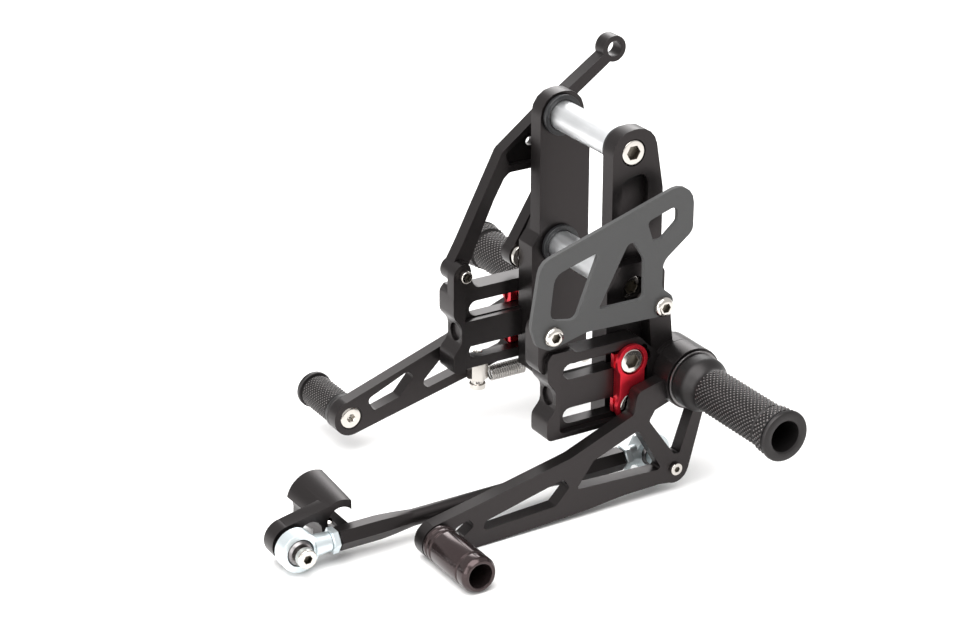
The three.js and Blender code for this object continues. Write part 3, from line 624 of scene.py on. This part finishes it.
class FOOT_OT_carriages(bpy.types.Operator):
    """Slide plates, the lever bushes and the rings behind the pegs"""

    bl_idname = "foot_controls.carriages"
    bl_label = "Slide Plates"

    def execute(self, context):
        for word, side in SIDES.items():
            machined(f"{word}_slide_plate", finish_of("black_anodised"), 0.8, 3)
            sleeve(f"{word}_lever_bush", side, 4.3, finish_of("bronze"))
            sleeve(f"{word}_peg_ring", side, 4.3, finish_of("dark_steel"), 0.3, 96)
            socket_screw(f"{word}_peg_bolt", side, 7.7, 4, 3, finish_of("dark_steel"))
        return {"FINISHED"}


class FOOT_OT_guard(bpy.types.Operator):
    """Carbon heel guard and its two button-head screws"""

    bl_idname = "foot_controls.guard"
    bl_label = "Heel Guard"

    def execute(self, context):
        machined("heel_guard", finish_of("carbon"), 0.4)
        for word in ("front", "rear"):
            socket_screw(f"guard_screw_{word}", LEFT, 3.2, 3, 2.2, finish_of("stainless"), dome=2.4)
        return {"FINISHED"}


class FOOT_OT_pegs(bpy.types.Operator):
    """The two knurled foot pegs"""

    bl_idname = "foot_controls.pegs"
    bl_label = "Foot Pegs"

    def execute(self, context):
        sizes = context.scene.foot_controls.sizes
        pitch, depth = sizes.knurl_pitch / MM, sizes.knurl_depth / MM
        for word, side in SIDES.items():
            length = Spot(f"{word}_peg", side).length / MM
            core = 11.6 - depth
            flare = np.linspace(0, 1, 9)
            swell = core + (14.25 - core) * (0.5 - 0.5 * np.cos(np.pi * flare))
            taper = np.stack([swell, 60.2 + 8.2 * flare], 1)
            tip = [[8.1, length - 10], [8.1, 0.6], [8.5, 0.25], [9.0, 0.0], [12.1, 0.0], [12.7, 0.25],
                   [13.1, 0.9], [13.2, 1.8]]
            rear = taper.tolist() + [[14.25, 68.9], [14.3, 69.3], [14.3, 74.2], [13.9, length], [4.3, length],
                                     [4.3, length - 10]]
            collar = tip + [[12.7, 2.6], [12.3, 3.2], [11.7, 10.6], [10.7, 11.2], [10.5, 12.3]]
            knurled(f"{word}_peg", side, collar, rear, 12.8, 60.0, core, GRIP_STARTS, pitch, depth,
                    f"{word}_peg_grip")
            self.collar_band(word, side, pitch, depth)
        return {"FINISHED"}

    def collar_band(self, word, side, pitch, depth):
        """The knurled band round the end collar, a cone that widens towards the end face."""
        spot = Spot(f"{word}_peg", side)
        wide, fall = 12.45, 0.6
        sides = GRIP_STARTS * STEPS_PER_DIAMOND
        angle = np.arange(sides) * 2 * np.pi / sides
        along = np.linspace(3.4, 10.8, 31)
        share = (along - along[0]) / (along[-1] - along[0])
        fade = np.clip(np.minimum(share * 9 / 0.7, (1 - share) * 9 / 0.5), 0, 1)
        height = knurl(angle[None, :], along[:, None], GRIP_STARTS, pitch, depth) * fade[:, None]
        skin = (wide - fall * share)[:, None] + height
        inner = np.full((2, sides), 10.6)
        table = np.vstack([inner[:1], skin, inner[1:]]) * MM
        places = np.concatenate([along[:1], along, along[-1:]]) * MM
        mesh = loft(f"{word}_peg_collar", spot.start(), spot.towards(), table, places, sides)
        mark_tips(mesh, spot, along[0], along[-1], (wide, wide - fall), depth)
        piece = place(mesh, finish_of("grip_anodised_painted_light"), body=BODY_OF[f"{word}_peg"])


class FOOT_OT_bracket(bpy.types.Operator):
    """Bracket on the brake side that carries the cylinder, with its screw and sleeve"""

    bl_idname = "foot_controls.bracket"
    bl_label = "Cylinder Bracket"

    def execute(self, context):
        machined("cylinder_bracket", finish_of("black_anodised"), 0.6)
        socket_screw("bracket_screw", LEFT, 2.9, 2.5, 1.5, finish_of("stainless"), edge=0.5)
        sleeve("bracket_sleeve", RIGHT, 3.3, finish_of("stainless"))
        return {"FINISHED"}


class FOOT_OT_levers(bpy.types.Operator):
    """Shift and brake levers with their small fasteners"""

    bl_idname = "foot_controls.levers"
    bl_label = "Levers"

    def execute(self, context):
        machined("shift_lever", finish_of("black_anodised"), 0.8, 3)
        machined("brake_lever", finish_of("black_anodised"), 0.8, 3)
        socket_screw("shift_link_bolt", LEFT, 1.8, 2.5, 1.4, finish_of("stainless"), edge=0.4)
        sleeve("shift_link_spacer", LEFT, 2.8, finish_of("zinc"))
        socket_screw("shift_toe_screw", RIGHT, 3.2, 3, 2, finish_of("stainless"), dome=2.2)
        socket_screw("brake_link_pin", RIGHT, 3.0, 3, 2, finish_of("stainless"))
        socket_screw("spring_pin", RIGHT, 2.2, 2, 1.3, finish_of("stainless"), edge=0.4)
        self.countersunk()
        return {"FINISHED"}

    def countersunk(self):
        """The brake toe peg's screw, seen from the lever's inner face: a broad flat head with a deep socket."""
        spot = Spot("brake_toe_screw", LEFT)
        rings = [[0, 3.0, 0], [1.9, 2.6, 1], [1.95, 0.5, 1], [2.3, 0.1, 0.2], [4.6, 0, 0], [5.5, 0.15, 0],
                 [6, 0.6, 0], [6, 7.4, 0], [3, 7.4, 0], [3, spot.length / MM, 0], [0, spot.length / MM, 0]]
        radii, distances, hexness = np.array(rings).T
        mesh = loft("brake_toe_screw_head", spot.start(), spot.towards(), radii * MM, distances * MM, 60, False,
                    hexness)
        place(mesh, finish_of("stainless"), "brake_toe_screw")


class FOOT_OT_toe_pegs(bpy.types.Operator):
    """The smooth toe peg of the shift lever and the knurled one of the brake lever"""

    bl_idname = "foot_controls.toe_pegs"
    bl_label = "Toe Pegs"

    def execute(self, context):
        sizes = context.scene.foot_controls.sizes
        length = Spot("shift_toe_peg", LEFT).length / MM
        groove = 0.6
        profile = [[6.3, 0.3], [6.9, 0], [7.9, 0], [9.0, 1.6], [9.3, 2.4], [9.3, 7.0], [9.3 - groove, 7.3],
                   [9.3 - groove, 8.4], [9.3, 8.7], [9.3, length - 7.6], [9.3 - groove, length - 7.3],
                   [9.3 - groove, length - 6.4], [9.3, length - 6.1], [9.3, length - 4.0],
                   [9.3 - groove, length - 3.7], [9.3 - groove, length - 2.8], [9.3, length - 2.5],
                   [9.3, length - 0.5], [8.8, length], [3.3, length], [3.3, length - 12], [6.3, length - 12]]
        turned("shift_toe_peg", LEFT, profile, finish_of("gloss_anodised"), 0.2, 96)
        self.brake_peg(sizes)
        return {"FINISHED"}

    def brake_peg(self, sizes):
        """A short spool: end rim, knurled waist and base rim round an open bore."""
        length = Spot("brake_toe_peg", RIGHT).length / MM
        pitch, depth = sizes.knurl_pitch / MM, sizes.knurl_depth / MM
        core = 9.3 - depth
        before = [[5.5, length - 8], [5.5, 0.4], [5.9, 0], [9.2, 0], [9.7, 0.4], [9.8, 1.0], [9.8, 2.6],
                  [9.5, 3.0], [core - 0.4, 3.3], [core - 0.4, 4.1]]
        after = [[core - 0.4, length - 4.6], [core - 0.4, length - 3.6], [9.4, length - 3.3],
                 [9.6, length - 2.9], [9.6, length - 0.5], [9.2, length], [3.3, length], [3.3, length - 8]]
        knurled("brake_toe_peg", RIGHT, before, after, 4.3, length - 4.8, core, TOE_GRIP_STARTS, pitch * 0.8,
                depth * 0.8, "brake_toe_peg_grip")


class FOOT_OT_linkage(bpy.types.Operator):
    """Shift rod, its nuts, rod ends and balls, and the arm that clamps the gear shaft"""

    bl_idname = "foot_controls.linkage"
    bl_label = "Shift Linkage"
    rear_end, front_end = 17.5, 21.3
    rear_nut, front_nut = 13.3, 21.0

    def execute(self, context):
        for word in ("rear", "front"):
            machined(f"{word}_rod_end", finish_of("zinc"), 0.9, 3)
            self.ball(f"{word}_ball", 2.8 if word == "rear" else 3.3)
        self.rod()
        machined("shift_link_nut", finish_of("zinc"), 0.3)
        machined("shift_arm", finish_of("black_anodised"), 0.7, 3)
        socket_screw("arm_link_bolt", LEFT, 4.2, 3, 2, finish_of("stainless"), edge=0.6)
        machined("arm_set_screw", finish_of("stainless"), 0.3)
        return {"FINISHED"}

    def ball(self, node, bore):
        """A zone of a sphere between two flats, bored through."""
        spot = Spot(node, LEFT)
        half = spot.length / MM / 2
        radius = spot.radius / MM
        along = np.linspace(-half, half, 15)
        skin = np.stack([np.sqrt(radius**2 - along**2), along + half], 1)
        profile = np.vstack([[[bore, 0]], skin, [[bore, 2 * half]]]) * MM
        mesh = loft(node + "_zone", spot.start(), spot.towards(), profile[:, 0], profile[:, 1], 72)
        place(mesh, finish_of("dark_steel"), node)

    def rod(self):
        """A rod whose hexagon ends run out into a slimmer round middle, and its two chamfered jam nuts. Their
        distances are in mm, from the ball at their own end."""
        rear = (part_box("rear_ball")[0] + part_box("rear_ball")[1]) / 2
        front = (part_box("front_ball")[0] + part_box("front_ball")[1]) / 2
        whole = (front - rear).length / MM
        end = np.array([[4.3, 0, 0], [4.9, 0, 0], [5.3, 0.5, 1], [5.3, 22, 1], [5.1, 27, 0.95], [4.8, 32, 0.8],
                        [4.4, 38, 0.5], [4.1, 43, 0.15], [4.0, 46, 0], [4.0, 50, 0]])
        far_end = end[::-1] * [1, -1, 1] + [0, whole - self.front_end, 0]
        rings = np.vstack([end + [0, self.rear_end, 0], far_end])
        radii, distances, hexness = rings.T
        mesh = loft("shift_rod_bar", rear, front, radii * MM, distances * MM, 72, True, hexness)
        place(mesh, finish_of("black_anodised"), "shift_rod")
        for word, start in (("rear", self.rear_nut), ("front", whole - self.front_nut)):
            rings = np.array([[4.2, 0, 0], [5.3, 0, 0], [5.8, 0.5, 1], [5.8, 3.4, 1], [5.3, 3.9, 0],
                              [4.2, 3.9, 0]])
            radii, distances, hexness = rings.T
            mesh = loft(f"{word}_jam_nut_hex", rear, front, radii * MM, (distances + start) * MM, 72, True,
                        hexness)
            place(mesh, finish_of("zinc"), f"{word}_jam_nut")


class FOOT_OT_spring(bpy.types.Operator):
    """Return spring of the brake lever and the post that holds it"""

    bl_idname = "foot_controls.spring"
    bl_label = "Return Spring"

    def execute(self, context):
        wire = context.scene.foot_controls.sizes.spring_wire
        low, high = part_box("return_spring")
        centre_y, centre_z = (low.y + high.y) / 2, (low.z + high.z) / 2
        mean = (high.z - low.z) / 2 - wire / 2
        coil_start, coil_end = low.x + 1.2 * MM, low.x + 22.0 * MM
        turns = round((coil_end - coil_start) / (wire * 1.27))
        angle = np.linspace(0, 2 * np.pi * turns, turns * 26)
        coil = np.stack([coil_start + (coil_end - coil_start) * angle / angle[-1],
                         centre_y + mean * np.cos(angle), centre_z + mean * np.sin(angle)], 1)
        lead = np.linspace(1, 0, 8)[:, None]
        first = coil[0] + lead * (np.array([low.x - 0.2 * MM, centre_y, centre_z]) - coil[0])
        run = np.linspace(0, 1, 14)[1:, None]
        end_point = np.array([high.x, centre_y, centre_z])
        last = coil[-1] + run * (end_point - coil[-1])
        last[:, 1:] += (np.sin(np.pi * run) * 0.3 * MM)
        path = np.vstack([first[:-1], coil, last])
        piece = bpy.data.objects.new("return_spring_coil", tube_along("return_spring_coil", path, wire / 2))
        bpy.context.scene.collection.objects.link(piece)
        piece.data.materials.append(finish_of("spring_steel"))
        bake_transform(piece)
        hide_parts("return_spring")
        machined("spring_post", finish_of("stainless"), 0.4)
        machined("spring_post_screw", finish_of("stainless"), 0.3)
        return {"FINISHED"}


class FOOT_OT_stage(bpy.types.Operator):
    """Floor, surround, softboxes and camera"""

    bl_idname = "foot_controls.stage"
    bl_label = "Studio"

    def execute(self, context):
        studio = context.scene.foot_controls.studio
        self.floor(context)
        self.surround(context, studio)
        self.softbox("overhead", (-0.35, -0.25, 1.15), (0.0, 0.0, 0.05), (1.3, 1.0), studio.key)
        self.softbox("left_side", (-1.3, -0.3, 0.5), (0.0, 0.0, 0.1), (0.7, 0.9), studio.key * 0.35)
        self.softbox("behind", (0.7, 1.1, 0.7), (0.0, 0.0, 0.08), (1.0, 0.5), studio.key * 0.4)
        self.camera(context, studio)
        return {"FINISHED"}

    def floor(self, context):
        """A wide sheet of pale paper: a flat grid with a faint fall towards its rim."""
        side = np.linspace(-9, 9, 41)
        x, y = np.meshgrid(side, side, indexing="ij")
        sag = -0.02 * np.clip(np.hypot(x, y) - 4, 0, None) ** 2 / 25
        points = np.stack([x, y, sag], -1).reshape(-1, 3)
        row, column = np.meshgrid(np.arange(40), np.arange(40), indexing="ij")
        corner = row * 41 + column
        faces = np.stack([corner, corner + 41, corner + 42, corner + 1], -1).reshape(-1, 4)
        mesh = mesh_of("floor", points, faces)
        mesh.materials.append(studio_floor("floor_paper", context.scene.foot_controls.colours.floor))
        sheet = bpy.data.objects.new("floor", mesh)
        context.scene.collection.objects.link(sheet)

    def surround(self, context, studio):
        world = bpy.data.worlds.new("surround")
        world.use_nodes = True
        background = world.node_tree.nodes["Background"]
        background.inputs["Color"].default_value = (1.0, 0.995, 0.99, 1)
        background.inputs["Strength"].default_value = studio.sky
        context.scene.world = world
        context.scene.view_settings.view_transform = "Standard"

    def softbox(self, name, location, target, size, power):
        light = bpy.data.lights.new(name, "AREA")
        light.shape = "RECTANGLE"
        light.size, light.size_y = size
        light.energy = power
        lamp = bpy.data.objects.new(name, light)
        lamp.location = location
        lamp.rotation_euler = (Vector(target) - Vector(location)).to_track_quat("-Z", "Y").to_euler()
        bpy.context.scene.collection.objects.link(lamp)

    def camera(self, context, studio):
        lens = bpy.data.cameras.new("camera")
        lens.lens = studio.lens
        lens.sensor_width = 36
        lens.clip_start, lens.clip_end = 0.05, 40
        camera = bpy.data.objects.new("camera", lens)
        azimuth, elevation = studio.azimuth, studio.elevation
        back = Vector((math.sin(azimuth) * math.cos(elevation), -math.cos(azimuth) * math.cos(elevation),
                       math.sin(elevation)))
        camera.location = studio.camera
        camera.rotation_euler = (-back).to_track_quat("-Z", "Y").to_euler()
        context.scene.collection.objects.link(camera)
        context.scene.camera = camera


PIECE_OPERATORS = (
    FOOT_OT_plates, FOOT_OT_clamps, FOOT_OT_carriages, FOOT_OT_guard, FOOT_OT_pegs, FOOT_OT_bracket,
    FOOT_OT_levers, FOOT_OT_toe_pegs, FOOT_OT_linkage, FOOT_OT_spring, FOOT_OT_stage,
)


class FOOT_PT_controls(bpy.types.Panel):
    """Lists the pieces and their settings"""

    bl_idname = "FOOT_PT_controls"
    bl_label = "Foot Controls"
    bl_space_type = "VIEW_3D"
    bl_region_type = "UI"
    bl_category = "Foot Controls"

    def draw(self, context):
        settings = context.scene.foot_controls
        for group in (settings.colours, settings.sizes, settings.studio):
            box = self.layout.box()
            for name in group.__annotations__:
                box.prop(group, name)
        for operator in PIECE_OPERATORS:
            self.layout.operator(operator.bl_idname)


CLASSES = (ColourSettings, SizeSettings, StudioSettings, FootControlSettings, *PIECE_OPERATORS,
           FOOT_PT_controls)


def register():
    for item in CLASSES:
        bpy.utils.register_class(item)
    bpy.types.Scene.foot_controls = bpy.props.PointerProperty(type=FootControlSettings)


def unregister():
    del bpy.types.Scene.foot_controls
    for item in reversed(CLASSES):
        bpy.utils.unregister_class(item)


def main():
    register()
    for operator in PIECE_OPERATORS:
        group, name = operator.bl_idname.split(".")
        getattr(getattr(bpy.ops, group), name)()


if __name__ == "__main__":
    main()
